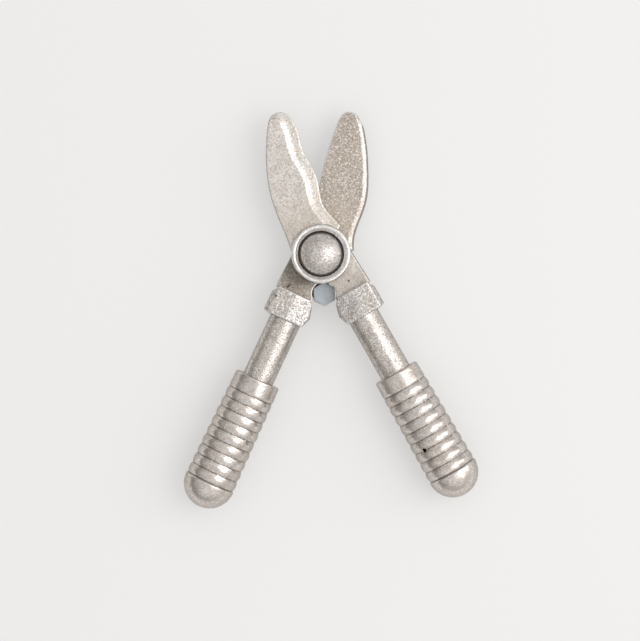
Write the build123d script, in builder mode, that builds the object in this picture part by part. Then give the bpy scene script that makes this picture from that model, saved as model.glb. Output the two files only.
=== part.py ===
"""Pruning shears: two forged arms that cross on one keyed pivot bolt.

Each arm is a forging (blade, eye and tang in one) with a faceted ferrule, a tube shaft and a ribbed grip on it.
Units are millimetres. The shears lie flat with their blades towards +Y. The origin is on the pivot axis, at the
outer face of the nut, which rests on the bench with the ends of the two grips, and +Z runs up through the domed
head. The hook arm lies on top: its blade is on the left and its handle on the right. The leaf arm lies under it.
"""

import os
from math import cos, radians, sin

from build123d import *

# Driving dimensions -------------------------------------------------------------------------------------------
BLADE_HALF_ANGLE = 13.75  # from +Y to each blade, as the shears lie open
MATING_Z = 16.3  # the plane in which the arms slide on each other, and the height of the handles' axes
ARM_GAP = 0.2  # between the two arms, kept by the thrust washer
PLATE = 6.0  # thickness of each forging
EYE_R = 18.7
FIT = 0.04  # between pieces that are fixed to each other
RUNNING_FIT = 0.03  # between the bolt and the bush

HANDLE_OFFSET = 3.7  # how far each handle's axis passes outside its foot beside the pivot
TANG_START = 17.3
TANG_OUTER = 18.6
TANG_DRAFT = 0.9  # how far each edge of a tang leans in
TANG_INNER = 6.2
TAIL_WIDTH = 10.0
TAIL_END = 80.0
FERRULE_START = 29.5  # these distances run along the handle from the pivot
FERRULE_END = 47.6
FERRULE_HALF_HEIGHT = 11.8
SHAFT_START = 36.0
SHAFT_END = 152.0
SHAFT_R = 10.15
SHAFT_BORE_R = 8.2
GRIP_START = 88.4
GRIP_CENTRE = 161.0  # centre of the grip's round end
GRIP_R = MATING_Z
COLLAR_R = 14.8
FIRST_RIB_R = 15.3
RIBS = 9
RIB_PITCH = 6.7
FIRST_GROOVE = 99.6
GROOVE_FLAT = 0.6
GROOVE_DEPTH = 0.8

JOURNAL_R = 6.0
THREAD_R = 5.0
NECK = 12.0  # side of the bolt's square neck
HEAD_R = 13.1
HEAD_LAND = 2.0
HEAD_RISE = 7.2
CUP_R = 18.8
CUP_BASE = 0.8
CUP_RIM = [(18.8, 2.7), (17.3, 4.6), (15.7, 3.7)]  # radius and height of its round rim, from outside to inside
CUP_WELL = (14.3, 2.5)  # where the rim's inner slope ends above the well round the bolt's head
BUSH_R = 8.0
THRUST_R = 14.0
THRUST_THICKNESS = 1.0
THRUST_SEAT = 0.4  # how deep the thrust washer lies in the leaf arm
BACK_WASHER_R = 13.0
SPRING_R = 12.0
SPRING_SHEET = 0.9
NUT_FLAT = 9.0  # from the nut's axis to each of its six sides
NUT_CORNER_R = 10.6
NUT_FACE_R = 8.9

BUMPER_R = 7.3
BUMPER_FLAT = 6.6  # from its axis to each of its six sides
BUMPER_AT = (1.1, -25.2)
BUMPER_TRAY = 2.0
BUMPER_GAP = 0.3  # left free round the bumper and above it
STUD_R = 2.2  # the bumper's stud, which passes through the tray to a button below it
BUTTON_R = 3.2
BUTTON_HEIGHT = 1.6
STOP_DISTANCE = 23.0
STOP_ANGLE = 50.5  # from -Y towards the right handle
STOP_R = 2.5
STOP_SEAT = 3.6  # the depth of the stop pin's hole in the hook arm

# Derived heights ----------------------------------------------------------------------------------------------
HOOK_BOTTOM = MATING_Z + ARM_GAP / 2
HOOK_TOP = HOOK_BOTTOM + PLATE
LEAF_TOP = MATING_Z - ARM_GAP / 2
LEAF_BOTTOM = LEAF_TOP - PLATE
THRUST_BOTTOM = LEAF_TOP - THRUST_SEAT
THRUST_ROOF = THRUST_BOTTOM + THRUST_THICKNESS + 0.05
BACK_WASHER_TOP = LEAF_BOTTOM - 0.05
BACK_WASHER_THICKNESS = 1.4
SPRING_TOP = BACK_WASHER_TOP - BACK_WASHER_THICKNESS
SPRING_HEIGHT = 1.7
NUT_HEIGHT = SPRING_TOP - SPRING_HEIGHT

RIGHT, LEFT = 1, -1  # the hook arm's handle and the leaf arm's
HANDLE_ANGLE = {RIGHT: 27.8, LEFT: 27.0}  # from -Y to each handle
HANDLE_FOOT = {RIGHT: 0.2, LEFT: -0.9}  # how far outside the pivot each handle's frame starts

os.makedirs("parts", exist_ok=True)


# Frames: an arm's own Z runs from the mating plane into that arm, so the leaf arm's is turned over -------------
def blade_frame(side):
    """Y runs from the pivot to the blade's tip and the spine is at negative X."""
    turn = radians(BLADE_HALF_ANGLE)
    return Plane((0, 0, MATING_Z), x_dir=(side * cos(turn), sin(turn), 0), z_dir=(0, 0, side))


def handle_frame(side):
    """X runs down the handle and Y points away from the other handle."""
    turn = radians(HANDLE_ANGLE[side])
    foot = HANDLE_FOOT[side] * Vector(side * cos(turn), sin(turn), 0) + Vector(0, 0, MATING_Z)
    return Plane(foot, x_dir=(side * sin(turn), -cos(turn), 0), z_dir=(0, 0, side))


def handle_section(side, distance):
    """A plane across the handle: X points away from the other handle and Y into the arm."""
    frame = handle_frame(side)
    return Plane(frame.from_local_coords((distance, 0, 0)), x_dir=frame.y_dir, z_dir=frame.x_dir)


def grip_frame(side):
    """The handle's frame, moved outwards onto the axis of the shaft and the grip."""
    frame = handle_frame(side)
    return Plane(frame.from_local_coords((0, HANDLE_OFFSET, 0)), x_dir=frame.x_dir, z_dir=frame.z_dir)


# Forgings -----------------------------------------------------------------------------------------------------
HOOK_EDGE_THICKNESS = 4.2  # the hook blade only backs the cut, so its edge is blunt
HOOK_LEDGE_THICKNESS = 4.6
HOOK_LEDGE = 3.4  # how far the ledge lies beyond the hook blade's ridge
SPINE_DRAFT = 0.5
SPINE_ROUND = 3.6  # from the leaf blade's spine to the flat beside its worn corner
SPINE_WALL = 1.3  # how far the spine's wall leans out below that corner
SPINE_ROUND_DEPTH = 1.0

HOOK_SPINE = [(-17.6, 6), (-18.6, 20), (-20.7, 40), (-17.3, 67), (-9.6, 89)]
HOOK_TIP = (-0.4, 93.3)
HOOK_EDGE = [(6.4, 83), (6.9, 66), (10.6, 47), (9.7, 30), (16.5, 14)]
HOOK_RIDGE_TIP = (-3.4, 89.4)
HOOK_RIDGE = [(-2.1, 82), (-2.0, 66), (2.0, 48), (1.6, 33), (7.5, 16)]
LEAF_SPINE = [(-20.2, 7), (-18.8, 17), (-21.4, 36), (-19.8, 54), (-11.5, 82)]
LEAF_TIP = (-1.0, 92.4)
LEAF_EDGE = [(6.3, 86), (8.9, 68), (10.1, 50), (10.2, 33), (15, 15)]
LEAF_RIDGE_TIP = (-3.0, 88.0)
LEAF_RIDGE = [(0.5, 82), (2.2, 68), (3.2, 50), (3.6, 33), (9, 15)]


def blade_outline(plane, spine_points, spine_inset, tip, edge_points):
    """A blade at one height: up its spine, over its round tip, down its edge and back inside the eye."""
    with BuildSketch(plane) as outline:
        with BuildLine():
            spine = Spline(*[(x + spine_inset, y) for x, y in spine_points])
            over = Spline(spine @ 1, tip, edge_points[0], tangents=(spine % 1, (0.2, -1)))
            edge = Spline(over @ 1, *edge_points[1:], tangents=(over % 1, (0.35, -1)))
            Polyline(edge @ 1, (0, -6), spine @ 0)
        make_face()
    return outline.sketch


def tang_outline(side, height, inset):
    """The tang from the eye to the ferrule at one height, with its two edges moved in by the inset."""
    with BuildSketch(handle_frame(side).offset(height)) as outline:
        with BuildLine():
            top = Line((0, TANG_START - inset), (FERRULE_START + 1, TANG_OUTER - inset))
            inner = inset - TANG_INNER
            Polyline(top @ 1, (FERRULE_START + 1, inner), (12, inner), (0, 0), top @ 0)
        make_face()
    return outline.sketch


def tail_outline(side):
    """The tang's tail, which runs through the ferrule into the shaft."""
    with BuildSketch(handle_frame(side).offset(ARM_GAP / 2)) as outline:
        with Locations(((FERRULE_START + TAIL_END) / 2, HANDLE_OFFSET)):
            Rectangle(TAIL_END - FERRULE_START, TAIL_WIDTH)
    return outline.sketch


def bumper_circle(height, radius):
    """A disc about the bumper's axis, facing up, with its plane at the given height."""
    with BuildSketch(Plane.XY.offset(height)) as circle:
        with Locations(BUMPER_AT):
            Circle(radius)
    return circle.sketch


def bumper_block(height, flat):
    """The bumper's outline: a rounded hexagon with a corner towards -Y."""
    with BuildSketch(Plane.XY.offset(height)) as block:
        with Locations(BUMPER_AT):
            RegularPolygon(flat, 6, major_radius=False, rotation=30)
        fillet(block.vertices(), 1.6)
    return block.sketch


with BuildPart() as hook_blade:
    frame = blade_frame(RIGHT)
    full = blade_outline(frame.offset(ARM_GAP / 2), HOOK_SPINE, 0, HOOK_TIP, HOOK_EDGE)
    shoulder_plane = frame.offset(ARM_GAP / 2 + HOOK_EDGE_THICKNESS)
    shoulder = blade_outline(shoulder_plane, HOOK_SPINE, 0, HOOK_TIP, HOOK_EDGE)
    beyond = [(x + HOOK_LEDGE, y) for x, y in HOOK_RIDGE]
    ledge_tip = (HOOK_RIDGE_TIP[0] + HOOK_LEDGE / 2, HOOK_RIDGE_TIP[1] + HOOK_LEDGE / 2)
    ledge = blade_outline(frame.offset(ARM_GAP / 2 + HOOK_LEDGE_THICKNESS), HOOK_SPINE, 0.1, ledge_tip, beyond)
    top = blade_outline(frame.offset(ARM_GAP / 2 + PLATE), HOOK_SPINE, SPINE_DRAFT, HOOK_RIDGE_TIP, HOOK_RIDGE)
    extrude(full, amount=HOOK_EDGE_THICKNESS)
    loft([shoulder, ledge], ruled=True)
    loft([ledge, top], ruled=True)
    base = tang_outline(RIGHT, ARM_GAP / 2, 0)
    loft([base, tang_outline(RIGHT, ARM_GAP / 2 + PLATE, TANG_DRAFT)], ruled=True)
    extrude(tail_outline(RIGHT), amount=PLATE)
    with BuildSketch(Plane.XY.offset(HOOK_BOTTOM)):
        Circle(EYE_R)
    extrude(amount=PLATE)
    extrude(bumper_circle(HOOK_BOTTOM, BUMPER_R + BUMPER_GAP), amount=PLATE, mode=Mode.SUBTRACT)
    with BuildSketch(Plane.XY.offset(HOOK_BOTTOM)):
        Circle(THRUST_R + FIT)
    extrude(amount=THRUST_ROOF - HOOK_BOTTOM, mode=Mode.SUBTRACT)
    with BuildSketch(Plane.XY.offset(HOOK_BOTTOM)):
        Rectangle(NECK + 2 * FIT, NECK + 2 * FIT)
    extrude(amount=PLATE, mode=Mode.SUBTRACT)
    with BuildSketch(Plane.XY.offset(HOOK_BOTTOM)):
        with PolarLocations(STOP_DISTANCE, 1, start_angle=STOP_ANGLE - 90):
            Circle(STOP_R)
    extrude(amount=STOP_SEAT, mode=Mode.SUBTRACT)
hook_blade.part.label = "hook_blade"
export_step(hook_blade.part, "parts/hook_blade.step")

with BuildPart() as cutting_blade:
    frame = blade_frame(LEFT)
    top = blade_outline(frame.offset(ARM_GAP / 2), LEAF_SPINE, SPINE_ROUND, LEAF_TIP, LEAF_EDGE)
    corner_plane = frame.offset(ARM_GAP / 2 + SPINE_ROUND_DEPTH)
    corner = blade_outline(corner_plane, LEAF_SPINE, SPINE_WALL, LEAF_TIP, LEAF_EDGE)
    bottom = blade_outline(frame.offset(ARM_GAP / 2 + PLATE), LEAF_SPINE, 0, LEAF_RIDGE_TIP, LEAF_RIDGE)
    loft([top, corner], ruled=True)
    loft([corner, bottom], ruled=True)
    base = tang_outline(LEFT, ARM_GAP / 2, 0)
    loft([base, tang_outline(LEFT, ARM_GAP / 2 + PLATE, TANG_DRAFT)], ruled=True)
    extrude(tail_outline(LEFT), amount=PLATE)
    with BuildSketch(Plane.XY.offset(LEAF_BOTTOM)):
        Circle(EYE_R)
    extrude(amount=PLATE)
    extrude(bumper_circle(LEAF_BOTTOM, BUMPER_R + BUMPER_GAP), amount=PLATE, mode=Mode.SUBTRACT)
    extrude(bumper_block(LEAF_BOTTOM, BUMPER_FLAT + BUMPER_GAP), amount=BUMPER_TRAY)
    extrude(bumper_circle(LEAF_BOTTOM, STUD_R + FIT), amount=BUMPER_TRAY, mode=Mode.SUBTRACT)
    with BuildSketch(Plane.XY.offset(THRUST_BOTTOM)):
        Circle(THRUST_R + FIT)
    extrude(amount=THRUST_SEAT, mode=Mode.SUBTRACT)
    with BuildSketch(Plane.XY.offset(LEAF_BOTTOM)):
        Circle(BUSH_R + FIT)
    extrude(amount=PLATE, mode=Mode.SUBTRACT)
cutting_blade.part.label = "cutting_blade"
export_step(cutting_blade.part, "parts/cutting_blade.step")

# Pivot --------------------------------------------------------------------------------------------------------
CUP_FLOOR = HOOK_TOP + CUP_BASE
HEAD_TOP = CUP_FLOOR + HEAD_LAND + HEAD_RISE

with BuildPart() as cup_washer:
    hole = NECK * 0.72  # just clears the neck's corners
    well = CUP_WELL[0]
    with BuildSketch(Plane.XZ):
        with BuildLine():
            rim = ThreePointArc(*[(radius, HOOK_TOP + height) for radius, height in CUP_RIM])
            slope = Line(rim @ 1, (well, HOOK_TOP + CUP_WELL[1]))
            inside = Polyline(slope @ 1, (well, CUP_FLOOR), (hole, CUP_FLOOR), (hole, HOOK_TOP))
            Polyline(inside @ 1, (CUP_R, HOOK_TOP), rim @ 0)
        make_face()
    revolve(axis=Axis.Z)
cup_washer.part.label = "cup_washer"
export_step(cup_washer.part, "parts/cup_washer.step")

with BuildPart() as pivot_bolt:
    with BuildSketch(Plane.XZ):
        with BuildLine():
            under = Line((0, CUP_FLOOR), (HEAD_R, CUP_FLOOR))
            land = Line(under @ 1, (HEAD_R, CUP_FLOOR + HEAD_LAND))
            dome = RadiusArc(land @ 1, (0, HEAD_TOP), -(HEAD_R**2 + HEAD_RISE**2) / (2 * HEAD_RISE))
            Line(dome @ 1, under @ 0)
        make_face()
    revolve(axis=Axis.Z)
    with BuildSketch(Plane.XY.offset(THRUST_ROOF)):
        Rectangle(NECK, NECK)
    extrude(amount=CUP_FLOOR - THRUST_ROOF)
    with BuildSketch(Plane.XY.offset(NUT_HEIGHT)):
        Circle(JOURNAL_R)
    extrude(amount=THRUST_ROOF - NUT_HEIGHT)
    with BuildSketch(Plane.XY):
        Circle(THREAD_R)
    extrude(amount=NUT_HEIGHT)
    chamfer(pivot_bolt.faces().sort_by(Axis.Z)[0].edges(), 0.7)
pivot_bolt.part.label = "pivot_bolt"
export_step(pivot_bolt.part, "parts/pivot_bolt.step")


def washer(height, thickness, outer, inner):
    """A flat ring about the pivot axis, standing on the given height."""
    with BuildPart() as ring:
        with BuildSketch(Plane.XY.offset(height)):
            Circle(outer)
            Circle(inner, mode=Mode.SUBTRACT)
        extrude(amount=thickness)
    return ring.part


thrust_washer = washer(THRUST_BOTTOM, THRUST_THICKNESS, THRUST_R, JOURNAL_R + 0.3)
thrust_washer.label = "thrust_washer"
export_step(thrust_washer, "parts/thrust_washer.step")

pivot_bush = washer(LEAF_BOTTOM, THRUST_BOTTOM - LEAF_BOTTOM, BUSH_R, JOURNAL_R + RUNNING_FIT)
pivot_bush.label = "pivot_bush"
export_step(pivot_bush, "parts/pivot_bush.step")

back_washer = washer(SPRING_TOP, BACK_WASHER_THICKNESS, BACK_WASHER_R, JOURNAL_R + 0.15)
back_washer.label = "back_washer"
export_step(back_washer, "parts/back_washer.step")

with BuildPart() as disc_spring:
    with BuildSketch(Plane.XZ):
        with BuildLine():
            rise = SPRING_HEIGHT - SPRING_SHEET
            inner = JOURNAL_R + 0.3
            under = Line((inner, NUT_HEIGHT), (SPRING_R, NUT_HEIGHT + rise))
            Polyline(under @ 1, (SPRING_R, SPRING_TOP), (inner, SPRING_TOP - rise), under @ 0)
        make_face()
    revolve(axis=Axis.Z)
disc_spring.part.label = "disc_spring"
export_step(disc_spring.part, "parts/disc_spring.step")

INSERT_R = 6.9
INSERT_DEPTH = 2.3
with BuildPart() as pivot_nut:
    with BuildSketch():
        RegularPolygon(NUT_FLAT, 6, major_radius=False)
    extrude(amount=NUT_HEIGHT)
    with BuildSketch(Plane.XZ):
        with BuildLine():
            side = Line((NUT_CORNER_R, 1.0), (NUT_CORNER_R, NUT_HEIGHT))
            Polyline(side @ 1, (0, NUT_HEIGHT), (0, 0), (NUT_FACE_R, 0), side @ 0)
        make_face()
    revolve(axis=Axis.Z, mode=Mode.INTERSECT)
    with BuildSketch():
        Circle(THREAD_R + FIT)
    extrude(amount=NUT_HEIGHT, mode=Mode.SUBTRACT)
    with BuildSketch():
        Circle(INSERT_R)
    extrude(amount=INSERT_DEPTH, mode=Mode.SUBTRACT)
pivot_nut.part.label = "pivot_nut"
export_step(pivot_nut.part, "parts/pivot_nut.step")

nut_lock_insert = washer(0.4, INSERT_DEPTH - 0.4, INSERT_R - FIT, THREAD_R + FIT)
nut_lock_insert.label = "nut_lock_insert"
export_step(nut_lock_insert, "parts/nut_lock_insert.step")

# Stop: a pin in the hook arm's tang that meets the rubber bumper on the leaf arm -------------------------------
BUMPER_SEAT = LEAF_BOTTOM + BUMPER_TRAY
PIN_BOTTOM = BUMPER_SEAT + BUMPER_GAP

with BuildPart() as stop_pin:
    with BuildSketch(Plane.XY.offset(PIN_BOTTOM)):
        with PolarLocations(STOP_DISTANCE, 1, start_angle=STOP_ANGLE - 90):
            Circle(STOP_R - FIT)
    extrude(amount=HOOK_BOTTOM + STOP_SEAT - 0.1 - PIN_BOTTOM)
    chamfer(stop_pin.faces().sort_by(Axis.Z)[0].edges(), 0.5)
stop_pin.part.label = "stop_pin"
export_step(stop_pin.part, "parts/stop_pin.step")

with BuildPart() as bumper:
    extrude(bumper_block(BUMPER_SEAT, BUMPER_FLAT), amount=LEAF_TOP - BUMPER_SEAT - BUMPER_GAP)
    fillet(bumper.faces().sort_by(Axis.Z)[-1].edges(), 0.5)
    extrude(bumper_circle(LEAF_BOTTOM, STUD_R), amount=BUMPER_TRAY)
    extrude(bumper_circle(LEAF_BOTTOM - BUTTON_HEIGHT, BUTTON_R), amount=BUTTON_HEIGHT, taper=20)
bumper.part.label = "bumper"
export_step(bumper.part, "parts/bumper.step")

# Handles ------------------------------------------------------------------------------------------------------
SCREW_AT = 42.0
SCREW_R = 2.5
SCREW_RECESS = 0.7
PIN_AT = 139.5
PIN_R = 1.35
PIN_TOP = 12.6  # from the grip's axis
TAIL_LOW = {RIGHT: HOOK_BOTTOM, LEFT: LEAF_BOTTOM}  # the underside of each tang's tail
PIN_TURN = {RIGHT: 36.0, LEFT: 180.0}  # each grip pin's lean from straight up, towards the other handle


def screw_circle(side, radius):
    """A disc about a ferrule screw's axis, facing up, at the bottom of the ferrule."""
    spot = grip_frame(side).from_local_coords((SCREW_AT, 0, 0))
    with BuildSketch(Plane((spot.X, spot.Y, MATING_Z - FERRULE_HALF_HEIGHT))) as circle:
        Circle(radius)
    return circle.sketch


def pin_plane(side):
    """A plane on the grip's axis that faces along the grip pin."""
    frame = grip_frame(side)
    turn = radians(PIN_TURN[side])
    along = Vector(0, 0, 1) * cos(turn) - frame.y_dir * sin(turn)
    return Plane(frame.from_local_coords((PIN_AT, 0, 0)), x_dir=frame.x_dir, z_dir=along)


FERRULE_SIDE = [(-10, 5), (-9.4, 8.4), (-7.5, 9.6), (4, 11.8), (16, 11.8), (18.4, 9.2), (19, 6)]  # its upper half
FERRULE_INNER_SIDE = [(29.5, -5.2), (33, -8), (40.3, -10), (47.2, -7.4), (47.6, -5)]  # seen from above
FERRULE_OUTER_SIDE = [(47.6, 15.5), (46.6, 19), (34, 19), (29.5, 15.8)]
FERRULE_RELIEF = 33.2  # the right ferrule's lower half starts here, so that it passes the bumper


def make_ferrule(side):
    """A block with lengthwise facets, slotted for the tang and bored from its lower end for the shaft."""
    front = handle_section(side, FERRULE_START)
    with BuildPart() as ferrule:
        with BuildSketch(front):
            with BuildLine():
                Polyline(*FERRULE_SIDE, *[(v, -w) for v, w in reversed(FERRULE_SIDE)], close=True)
            make_face()
        extrude(amount=FERRULE_END - FERRULE_START)
        chamfer(ferrule.faces().sort_by(Axis((0, 0, 0), front.z_dir))[-1].edges(), 0.8)
        with BuildSketch(handle_frame(side).offset(-FERRULE_HALF_HEIGHT)):
            with BuildLine():
                Polyline(*FERRULE_INNER_SIDE, *FERRULE_OUTER_SIDE, close=True)
            make_face()
        extrude(amount=2 * FERRULE_HALF_HEIGHT, mode=Mode.INTERSECT)
        with BuildSketch(front):
            with Locations((0, ARM_GAP / 2 - FIT)):
                Rectangle(60, PLATE + 2 * FIT, align=(Align.CENTER, Align.MIN))
        extrude(amount=1 + FIT, mode=Mode.SUBTRACT)
        with BuildSketch(front):
            with Locations((HANDLE_OFFSET, (ARM_GAP + PLATE) / 2)):
                Rectangle(TAIL_WIDTH + 2 * FIT, PLATE + 2 * FIT)
        extrude(amount=SHAFT_START - FERRULE_START, mode=Mode.SUBTRACT)
        with BuildSketch(handle_section(side, SHAFT_START)):
            with Locations((HANDLE_OFFSET, 0)):
                Circle(SHAFT_R + FIT)
        extrude(amount=FERRULE_END - SHAFT_START, mode=Mode.SUBTRACT)
        if side == RIGHT:
            with BuildSketch(front):
                with Locations((0, -FERRULE_HALF_HEIGHT)):
                    Rectangle(60, FERRULE_HALF_HEIGHT, align=(Align.CENTER, Align.MIN))
            extrude(amount=FERRULE_RELIEF - FERRULE_START, mode=Mode.SUBTRACT)
        extrude(screw_circle(side, SCREW_R + FIT), amount=FERRULE_HALF_HEIGHT - SHAFT_R + 2, mode=Mode.SUBTRACT)
    return ferrule.part


def make_screw(side):
    """A socket grub screw that presses the tang's tail from below, through the shaft's wall."""
    with BuildPart() as screw:
        extrude(screw_circle(side, SCREW_R), amount=TAIL_LOW[side] - MATING_Z + FERRULE_HALF_HEIGHT - 0.02)
        extrude(screw_circle(side, SCREW_R + 0.5), amount=SCREW_RECESS, mode=Mode.SUBTRACT)
        spot = screw.faces().sort_by(Axis.Z)[0].center()
        with BuildSketch(Plane(spot)):
            RegularPolygon(1.25, 6, major_radius=False)
        extrude(amount=2.2, mode=Mode.SUBTRACT)
    return screw.part


def make_shaft(side):
    """A tube from inside the ferrule to inside the grip."""
    with BuildPart() as shaft:
        with BuildSketch(handle_section(side, SHAFT_START)):
            with Locations((HANDLE_OFFSET, 0)):
                Circle(SHAFT_R)
                Circle(SHAFT_BORE_R, mode=Mode.SUBTRACT)
        extrude(amount=SHAFT_END - SHAFT_START)
        extrude(screw_circle(side, SCREW_R + FIT), amount=FERRULE_HALF_HEIGHT, mode=Mode.SUBTRACT)
        with BuildSketch(pin_plane(side)):
            Circle(PIN_R + FIT)
        extrude(amount=SHAFT_R + 1, mode=Mode.SUBTRACT)
    return shaft.part


def rib_radius(distance):
    """The radius of the grip's ribs, which grows evenly towards its round end."""
    return FIRST_RIB_R + (GRIP_R - FIRST_RIB_R) * (distance - FIRST_GROOVE) / (GRIP_CENTRE - FIRST_GROOVE)


def make_grip(side):
    """A turned handle with a collar, rounded ribs and a round end, bored for the shaft."""
    frame = grip_frame(side)
    with BuildPart() as grip:
        with BuildSketch(frame):
            with BuildLine():
                front = Line((GRIP_START, 0), (GRIP_START, COLLAR_R - 1.2))
                corner = TangentArc(front @ 1, (GRIP_START + 1.2, COLLAR_R), tangent=(0, 1))
                valley = (FIRST_GROOVE - GROOVE_FLAT / 2, FIRST_RIB_R - GROOVE_DEPTH)
                collar = Line(corner @ 1, (valley[0] - 1.4, COLLAR_R + 0.2))
                last = ThreePointArc(collar @ 1, (valley[0] - 0.4, COLLAR_R), valley)
                for rib in range(RIBS):
                    start = FIRST_GROOVE + rib * RIB_PITCH
                    crest = rib_radius(start + RIB_PITCH / 2)
                    left = (start + GROOVE_FLAT / 2, crest - GROOVE_DEPTH)
                    right = (start + RIB_PITCH - GROOVE_FLAT / 2, crest - GROOVE_DEPTH)
                    floor = Line(last @ 1, left)
                    last = ThreePointArc(floor @ 1, (start + RIB_PITCH / 2, crest), right)
                end = FIRST_GROOVE + RIBS * RIB_PITCH + GROOVE_FLAT / 2
                floor = Line(last @ 1, (end, GRIP_R - GROOVE_DEPTH))
                ThreePointArc(floor @ 1, (end + 0.25, GRIP_R - 0.3), (GRIP_CENTRE, GRIP_R))
                CenterArc((GRIP_CENTRE, 0), GRIP_R, 0, 90)
                Line((GRIP_CENTRE + GRIP_R, 0), front @ 0)
            make_face()
        revolve(axis=Axis(frame.origin, frame.x_dir))
        with BuildSketch(handle_section(side, GRIP_START)):
            with Locations((HANDLE_OFFSET, 0)):
                Circle(SHAFT_R + FIT)
        extrude(amount=SHAFT_END - GRIP_START + 0.1, mode=Mode.SUBTRACT)
        with BuildSketch(pin_plane(side)):
            Circle(PIN_R + FIT)
        extrude(amount=GRIP_R + 1, mode=Mode.SUBTRACT)
    return grip.part


def make_pin(side):
    """A drive pin through the grip into the shaft's wall, set well below the grip's surface."""
    with BuildPart() as pin:
        with BuildSketch(pin_plane(side).offset(SHAFT_BORE_R - 0.4)):
            Circle(PIN_R)
        extrude(amount=PIN_TOP - SHAFT_BORE_R + 0.4)
    return pin.part


for side, hand in ((RIGHT, "right"), (LEFT, "left")):
    pieces = {
        "ferrule": make_ferrule(side),
        "ferrule_screw": make_screw(side),
        "shaft": make_shaft(side),
        "grip": make_grip(side),
        "grip_pin": make_pin(side),
    }
    for piece, solid in pieces.items():
        solid.label = f"{hand}_{piece}"
        export_step(solid, f"parts/{hand}_{piece}.step")
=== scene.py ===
"""The looks of the pruning shears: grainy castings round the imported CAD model, with light and a camera."""

import math

import bpy
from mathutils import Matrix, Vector

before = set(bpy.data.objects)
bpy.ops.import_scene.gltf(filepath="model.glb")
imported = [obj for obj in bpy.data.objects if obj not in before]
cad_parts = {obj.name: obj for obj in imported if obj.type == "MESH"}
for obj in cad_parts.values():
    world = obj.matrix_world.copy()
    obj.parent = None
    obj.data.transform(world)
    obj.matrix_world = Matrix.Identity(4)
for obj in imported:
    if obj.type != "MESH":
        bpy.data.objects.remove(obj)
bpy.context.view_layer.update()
MM = 0.001


# Camera, floor and light ------------------------------------------------------------------------------------
VIEW_WIDTH = 0.4064  # how much of the bench the picture is wide
VIEW_CENTRE = (-0.0021, -0.0419)
VIEW_HEIGHT = 0.016  # the height that is in true scale
CAMERA_LENS = 120.0
CAMERA_ROLL = -2.0
FLOOR_Z = -0.0006


def make_camera():
    """Looks straight down on the shears, turned a little, from about 1.4 m."""
    data = bpy.data.cameras.new("camera")
    data.lens = CAMERA_LENS
    data.sensor_width = 36.0
    camera = bpy.data.objects.new("camera", data)
    distance = CAMERA_LENS / data.sensor_width * VIEW_WIDTH
    camera.location = (*VIEW_CENTRE, VIEW_HEIGHT + distance)
    camera.rotation_euler = (0, 0, math.radians(CAMERA_ROLL))
    data.clip_start, data.clip_end = 0.05, 20.0
    bpy.context.scene.collection.objects.link(camera)
    bpy.context.scene.camera = camera


def make_light(name, place, aim, size, power):
    """A rectangular soft box at place that shines at aim, in metres and watts."""
    data = bpy.data.lights.new(name, "AREA")
    data.shape = "RECTANGLE"
    data.size, data.size_y = size
    data.energy = power
    light = bpy.data.objects.new(name, data)
    light.location = place
    light.rotation_euler = (Vector(aim) - Vector(place)).to_track_quat("-Z", "Y").to_euler()
    bpy.context.scene.collection.objects.link(light)


def make_world(low, top, ring, lean):
    """A pale studio: a glow overhead, a brighter ring half way down, and more light from where it leans."""
    world = bpy.data.worlds.new("studio")
    world.use_nodes = True
    tree = world.node_tree
    place = tree.nodes.new("ShaderNodeTexCoord")
    parts = tree.nodes.new("ShaderNodeSeparateXYZ")
    tree.links.new(place.outputs["Generated"], parts.inputs[0])

    def math_node(operation, a, b):
        node = tree.nodes.new("ShaderNodeMath")
        node.operation = operation
        for socket, value in zip(node.inputs, (a, b)):
            if isinstance(value, float):
                socket.default_value = value
            else:
                tree.links.new(value, socket)
        return node.outputs[0]

    up = math_node("MAXIMUM", parts.outputs["Z"], 0.0)
    overhead = math_node("MULTIPLY", up, up)
    glow = math_node("MULTIPLY", overhead, top - low)
    halfway = math_node("MULTIPLY", overhead, math_node("SUBTRACT", 1.0, overhead))
    halo = math_node("MULTIPLY", halfway, 4.0 * ring)
    across = math_node("MULTIPLY", parts.outputs["X"], lean[0])
    along = math_node("MULTIPLY", parts.outputs["Y"], lean[1])
    total = math_node("ADD", low, glow)
    for term in (halo, across, along):
        total = math_node("ADD", total, term)
    background = tree.nodes["Background"]
    background.inputs["Color"].default_value = (1.0, 0.99, 0.978, 1)
    tree.links.new(math_node("MAXIMUM", total, 0.04), background.inputs["Strength"])
    bpy.context.scene.world = world


LIT_SPOT = (0, -0.03, 0)  # the middle of the shears

make_camera()
make_world(low=0.40, top=0.70, ring=0.26, lean=(0.20, -0.04))
make_light("softbox", (0.78, -0.05, 1.17), LIT_SPOT, (1.15, 0.85), 4.2)
make_light("side", (1.2, 0.2, 0.6), LIT_SPOT, (0.6, 0.6), 1.6)
bpy.context.scene.view_settings.view_transform = "Standard"
bpy.context.scene.view_settings.look = "None"


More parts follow.
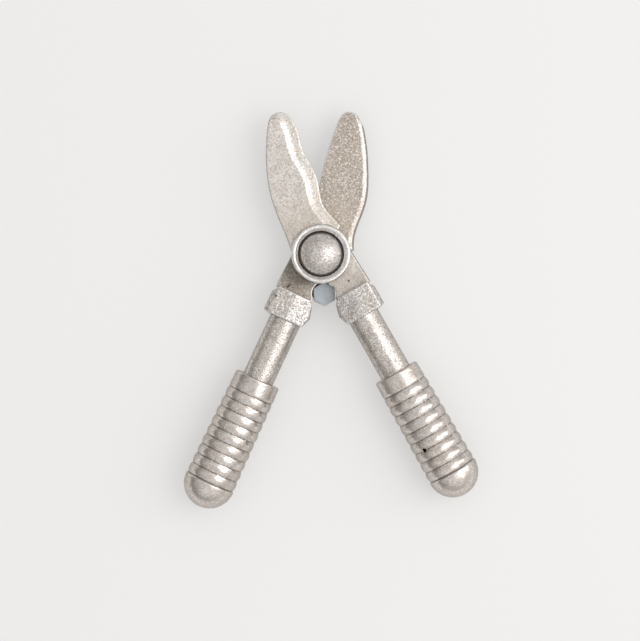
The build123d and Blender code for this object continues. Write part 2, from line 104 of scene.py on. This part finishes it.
# Materials --------------------------------------------------------------------------------------------------
class Nodes:
    """A material's node tree with short calls for adding and linking nodes."""

    def __init__(self, name):
        self.material = bpy.data.materials.new(name)
        self.material.use_nodes = True
        self.tree = self.material.node_tree
        self.shader = self.tree.nodes["Principled BSDF"]
        self.place = self.add("ShaderNodeTexCoord").outputs["Object"]

    def add(self, kind, **settings):
        node = self.tree.nodes.new(kind)
        for key, value in settings.items():
            setattr(node, key, value)
        return node

    def link(self, source, target):
        self.tree.links.new(source, target)

    def noise(self, size, detail=2.0, roughness=0.5, distortion=0.0):
        """Noise whose features are about size across, in metres."""
        node = self.add("ShaderNodeTexNoise")
        node.inputs["Scale"].default_value = 1.0 / size
        node.inputs["Detail"].default_value = detail
        node.inputs["Roughness"].default_value = roughness
        node.inputs["Distortion"].default_value = distortion
        self.link(self.place, node.inputs["Vector"])
        return node.outputs["Fac"]

    def ramp(self, source, low, high, start=0.0, end=1.0):
        """Maps source from low..high to start..end, clamped."""
        node = self.add("ShaderNodeMapRange", clamp=True)
        for key, value in (("From Min", low), ("From Max", high), ("To Min", start), ("To Max", end)):
            node.inputs[key].default_value = value
        self.link(source, node.inputs["Value"])
        return node.outputs["Result"]

    def spot(self, place, radius, softness):
        """1 within radius of a place on the part, in metres, and 0 beyond radius + softness."""
        node = self.add("ShaderNodeVectorMath", operation="DISTANCE")
        self.link(self.place, node.inputs[0])
        node.inputs[1].default_value = place
        return self.ramp(node.outputs["Value"], radius, radius + softness, 1.0, 0.0)

    def mix(self, factor, a, b):
        """A colour between a and b, each a colour or an output."""
        node = self.add("ShaderNodeMix", data_type="RGBA")
        self.link(factor, node.inputs["Factor"])
        for socket, value in ((node.inputs[6], a), (node.inputs[7], b)):
            if isinstance(value, tuple):
                socket.default_value = (*value, 1)
            else:
                self.link(value, socket)
        return node.outputs[2]

    def product(self, a, b):
        """Two outputs multiplied."""
        node = self.add("ShaderNodeMath", operation="MULTIPLY")
        self.link(a, node.inputs[0])
        self.link(b, node.inputs[1])
        return node.outputs[0]

    def bump(self, height, distance, normal=None):
        """A normal for relief of the given depth, on top of another bump's normal if there is one."""
        node = self.add("ShaderNodeBump")
        node.inputs["Distance"].default_value = distance
        self.link(height, node.inputs["Height"])
        if normal is not None:
            self.link(normal, node.inputs["Normal"])
        return node.outputs["Normal"]


# Bare metal, used also for the painted highlight on gentle slopes:
BARE_METAL_AND_PAINTED_HIGHLIGHT = (0.98, 0.975, 0.97)  # bare metal
HANDLED = (0.60, 0.52, 0.43)  # warm tarnish round the pivot
BEIGE = (0.70, 0.62, 0.52)
PINK = (0.86, 0.72, 0.66)
# Dark for a stain, pit or scratch, and for painted shade and shadow:
SOOT_AND_PAINTED_SHADE = (0.05, 0.045, 0.04)
GRAIN = 1.1 * MM
TOOTH = 0.7 * MM


def cast_silver(
    name, tint, shade, roughness, relief,
    speckle=0.9, cavity=0.85, hollow=0.42, edge=0.85, tarnish_and_painted_highlight=0.0, stains_and_painted_shade=(),
):
    """Tumbled cast metal: bright grains and edges, tarnish, warm grime and painted shade in hollows, painted
    shade on sides.

    worn is for blades: it paints a highlight on gentle slopes such as a ridge, as brighter metal, and near
    the pivot it leaves warm tarnish instead. cavity and edge set how much the hollows' grime and painted
    shade and the edges stand out, a larger hollow darkens shallower hollows, and spots of stain and of
    painted shade lie over all.
    """
    n = Nodes(name)
    grime_and_painted_shade = tuple(0.45 * c for c in shade)
    grains = n.noise(GRAIN, 1.5, 0.6)
    geometry = n.add("ShaderNodeNewGeometry")
    shape = geometry.outputs["Pointiness"]
    normal = n.add("ShaderNodeSeparateXYZ")
    n.link(geometry.outputs["Normal"], normal.inputs[0])
    facing_up = normal.outputs["Z"]

    # Slow tarnish in three sizes of patch, then dull and bright grains
    patches = n.ramp(n.noise(8 * MM, 3, 0.6), 0.35, 0.65)
    colour = n.mix(n.ramp(patches, 0, 1, 0.0, 0.45), tint, shade)
    colour = n.mix(n.ramp(n.noise(17 * MM, 2, 0.5), 0.45, 0.65, 0.0, 0.35), colour, BEIGE)
    colour = n.mix(n.ramp(n.noise(2.6 * MM, 1, 0.5, 0.4), 0.5, 0.62, 0.0, 0.22), colour, PINK)
    colour = n.mix(n.ramp(grains, 0.34, 0.5, speckle, 0.0), colour, shade)
    colour = n.mix(n.ramp(grains, 0.55, 0.68, 0.0, speckle * 0.9), colour, BARE_METAL_AND_PAINTED_HIGHLIGHT)
    # Warm tarnish near the pivot, and a painted highlight on gentle slopes such as ridges and rims
    if tarnish_and_painted_highlight:
        near_pivot = n.spot((0, 0, 19 * MM), 22 * MM, 24 * MM)
        colour = n.mix(n.ramp(near_pivot, 0, 1, 0.0, 0.4), colour, HANDLED)
        slope = n.product(n.ramp(facing_up, 0.82, 0.91), n.ramp(facing_up, 0.915, 0.965, tarnish_and_painted_highlight, 0.0))
        outward = n.ramp(n.spot((0, 0, 0), 32 * MM, 30 * MM), 0, 1, 1.0, 0.15)
        colour = n.mix(n.product(slope, outward), colour, BARE_METAL_AND_PAINTED_HIGHLIGHT)
    # Grime and painted shade in hollows, bright edges, painted shade on steep sides, then stain and painted
    # shade spots
    colour = n.mix(n.ramp(shape, hollow, 0.493, cavity, 0.0), colour, grime_and_painted_shade)
    colour = n.mix(n.ramp(shape, 0.505, 0.54, 0.0, edge), colour, BARE_METAL_AND_PAINTED_HIGHLIGHT)
    # painted shade: the steeper a side, the darker it is
    colour = n.mix(n.ramp(facing_up, 0.2, 0.74, 0.7, 0.0), colour, grime_and_painted_shade)
    for place, radius, softness, depth in stains_and_painted_shade:
        colour = n.mix(n.ramp(n.spot(place, radius, softness), 0, 1, 0.0, depth), colour, SOOT_AND_PAINTED_SHADE)

    n.link(colour, n.shader.inputs["Base Color"])
    n.shader.inputs["Metallic"].default_value = 1.0
    n.link(n.ramp(grains, 0.35, 0.65, roughness + 0.12, roughness - 0.08), n.shader.inputs["Roughness"])
    coarse = n.bump(grains, 0.22 * MM * relief)
    n.link(n.bump(n.noise(TOOTH, 1, 0.6), 0.06 * MM * relief, coarse), n.shader.inputs["Normal"])
    return n.material


def plain_metal(name, tint, roughness):
    """Small turned or plated hardware, with dull patches and a fine tooth."""
    n = Nodes(name)
    patches = n.ramp(n.noise(3 * MM, 3, 0.6), 0.3, 0.7)
    n.link(n.mix(patches, tint, tuple(0.8 * c for c in tint)), n.shader.inputs["Base Color"])
    n.shader.inputs["Metallic"].default_value = 1.0
    n.link(n.ramp(patches, 0, 1, roughness, roughness + 0.12), n.shader.inputs["Roughness"])
    n.link(n.bump(n.noise(0.5 * MM, 3, 0.6), 0.03 * MM), n.shader.inputs["Normal"])
    return n.material


def soft_plastic(name, tint, shade, roughness, grain):
    """Rubber or nylon, with a faint mottle and a fine tooth."""
    n = Nodes(name)
    mottle = n.ramp(n.noise(2.5 * MM, 4, 0.65), 0.3, 0.7)
    n.link(n.mix(mottle, tint, shade), n.shader.inputs["Base Color"])
    n.link(n.ramp(mottle, 0, 1, roughness, roughness + 0.15), n.shader.inputs["Roughness"])
    n.link(n.bump(n.noise(TOOTH, 3, 0.6), grain), n.shader.inputs["Normal"])
    return n.material


def floor_paper():
    """Pale paper that also glows a little, so that shadows on it stay soft."""
    n = Nodes("paper")
    tooth = n.noise(4 * MM, 4, 0.6)
    n.link(n.mix(tooth, (0.47, 0.468, 0.462), (0.455, 0.453, 0.447)), n.shader.inputs["Base Color"])
    n.shader.inputs["Emission Color"].default_value = (1.0, 0.992, 0.978, 1)
    n.shader.inputs["Emission Strength"].default_value = 0.445
    n.shader.inputs["Roughness"].default_value = 0.9
    n.shader.inputs["Specular IOR Level"].default_value = 0.1
    return n.material


# Each dark spot is a place, a radius, a softness beyond it, and how dark it is
# painted shadow of the cup washer's ring, on the tang beside it
LEAF_PAINTED_SHADOW_AND_SCRATCH = [((-15 * MM, -9 * MM, 16 * MM), 8 * MM, 8 * MM, 0.6)]
for step in range(4):  # a short scratch on the tang
    place = ((0.7 * step - 22.1) * MM, (0.5 * step - 20.0) * MM, 16.2 * MM)
    LEAF_PAINTED_SHADOW_AND_SCRATCH.append((place, 0.3 * MM, 0.4 * MM, 0.9))
HOOK_PIT_AND_DARK_PATCH = [
    ((16.9 * MM, -17.4 * MM, 22.4 * MM), 0.4 * MM, 0.5 * MM, 0.8),
    # a broad, faint darker patch
    ((18 * MM, -23 * MM, 22.4 * MM), 8 * MM, 9 * MM, 0.14),
]
FERRULE_STAINS = [((-29.2 * MM, -25.4 * MM, 27.8 * MM), 0.5 * MM, 0.6 * MM, 0.8)]
# painted shade in the cup washer's well, round the bolt's head
WELL_PAINTED_SHADE = [((0, 0, 23.2 * MM), 14.2 * MM, 0.7 * MM, 0.93)]  # in the cup washer, round the bolt's head

hook_metal = cast_silver(
    "hook_metal", (0.85, 0.81, 0.77), (0.50, 0.44, 0.39), roughness=0.42, relief=0.45, speckle=0.75,
    cavity=0.3, edge=0.3, tarnish_and_painted_highlight=0.7, stains_and_painted_shade=HOOK_PIT_AND_DARK_PATCH,
)
leaf_metal = cast_silver(
    "leaf_metal", (0.575, 0.51, 0.445), (0.38, 0.32, 0.27), roughness=0.45, relief=0.6, speckle=0.8,
    tarnish_and_painted_highlight=0.6, stains_and_painted_shade=LEAF_PAINTED_SHADOW_AND_SCRATCH,
)
dome_metal = cast_silver("dome_metal", (0.84, 0.80, 0.77), (0.48, 0.43, 0.39), roughness=0.42, relief=1.3)
rim_metal = cast_silver(
    "rim_metal", (0.98, 0.97, 0.955), (0.60, 0.56, 0.53), roughness=0.34, relief=1.1, speckle=0.85,
    edge=1.0, stains_and_painted_shade=WELL_PAINTED_SHADE,
)
ferrule_metal = cast_silver(
    "ferrule_metal", (0.70, 0.67, 0.65), (0.38, 0.34, 0.31), roughness=0.31, relief=1.3, speckle=1.0,
    stains_and_painted_shade=FERRULE_STAINS,
)
shaft_metal = cast_silver("shaft_metal", (0.79, 0.74, 0.69), (0.42, 0.37, 0.33), roughness=0.30, relief=0.8)
grip_metal = cast_silver(
    "grip_metal", (0.80, 0.745, 0.70), (0.42, 0.36, 0.32), roughness=0.24, relief=0.25, speckle=0.5,
    cavity=0.95, hollow=0.484, edge=0.35,
)
dark_pin = plain_metal("dark_pin", (0.07, 0.065, 0.06), 0.5)
plated = plain_metal("plated", (0.55, 0.54, 0.52), 0.35)
bronze = plain_metal("bronze", (0.62, 0.42, 0.22), 0.3)
rubber = soft_plastic("rubber", (0.62, 0.67, 0.71), (0.50, 0.55, 0.59), 0.6, 0.08 * MM)
nylon = soft_plastic("nylon", (0.72, 0.71, 0.66), (0.66, 0.64, 0.58), 0.45, 0.02 * MM)

FINISH = {
    "hook_blade": hook_metal,
    "cutting_blade": leaf_metal,
    "cup_washer": rim_metal,
    "pivot_bolt": dome_metal,
    "thrust_washer": bronze,
    "pivot_bush": bronze,
    "back_washer": plated,
    "disc_spring": plated,
    "pivot_nut": plated,
    "nut_lock_insert": nylon,
    "stop_pin": plated,
    "bumper": rubber,
}
for hand in ("right", "left"):
    FINISH[f"{hand}_ferrule"] = ferrule_metal
    FINISH[f"{hand}_shaft"] = shaft_metal
    FINISH[f"{hand}_grip"] = grip_metal
    FINISH[f"{hand}_ferrule_screw"] = plated
    FINISH[f"{hand}_grip_pin"] = dark_pin


# Cast shapes: the CAD solids with their edges rounded and their faces made slightly uneven ------------------
def clouds(name, size):
    """A texture of uneven lumps about size across, in metres."""
    texture = bpy.data.textures.new(name, "CLOUDS")
    texture.noise_scale = size
    texture.noise_depth = 2
    return texture


ripple = clouds("ripple", 9 * MM)
pebble = clouds("pebble", 2.2 * MM)


def cast_skin(node, cell, rounding, ripple_height=0.12 * MM, pebble_height=0.05 * MM):
    """Rebuilds a CAD node's skin with cells of that size, rounds its edges and makes its faces uneven."""
    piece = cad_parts[node]
    weld = piece.modifiers.new("weld", "WELD")
    weld.merge_threshold = 1e-6
    remesh = piece.modifiers.new("remesh", "REMESH")
    remesh.mode = "VOXEL"
    remesh.voxel_size = cell
    remesh.use_smooth_shade = True
    smooth = piece.modifiers.new("smooth", "SMOOTH")
    smooth.factor = 0.5
    smooth.iterations = rounding
    for name, texture, height in (("ripple", ripple, ripple_height), ("pebble", pebble, pebble_height)):
        uneven = piece.modifiers.new(name, "DISPLACE")
        uneven.texture = texture
        uneven.texture_coords = "LOCAL"
        uneven.strength = height * 2
        uneven.mid_level = 0.5


for node in ("hook_blade", "cutting_blade"):
    cast_skin(node, 0.4 * MM, 5)
cast_skin("cup_washer", 0.24 * MM, 3, 0.08 * MM, 0.05 * MM)
cast_skin("pivot_bolt", 0.25 * MM, 3)
cast_skin("bumper", 0.35 * MM, 3, 0.05 * MM, 0.02 * MM)
for hand in ("right", "left"):
    cast_skin(f"{hand}_ferrule", 0.35 * MM, 10, 0.2 * MM)
    cast_skin(f"{hand}_shaft", 0.5 * MM, 3)
    cast_skin(f"{hand}_grip", 0.35 * MM, 3)

for node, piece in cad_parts.items():
    piece.data.materials.clear()
    piece.data.materials.append(FINISH[node])

bpy.ops.mesh.primitive_plane_add(size=6, location=(0, 0, FLOOR_Z))
floor = bpy.context.object
floor.name = "floor"
floor.data.materials.append(floor_paper())
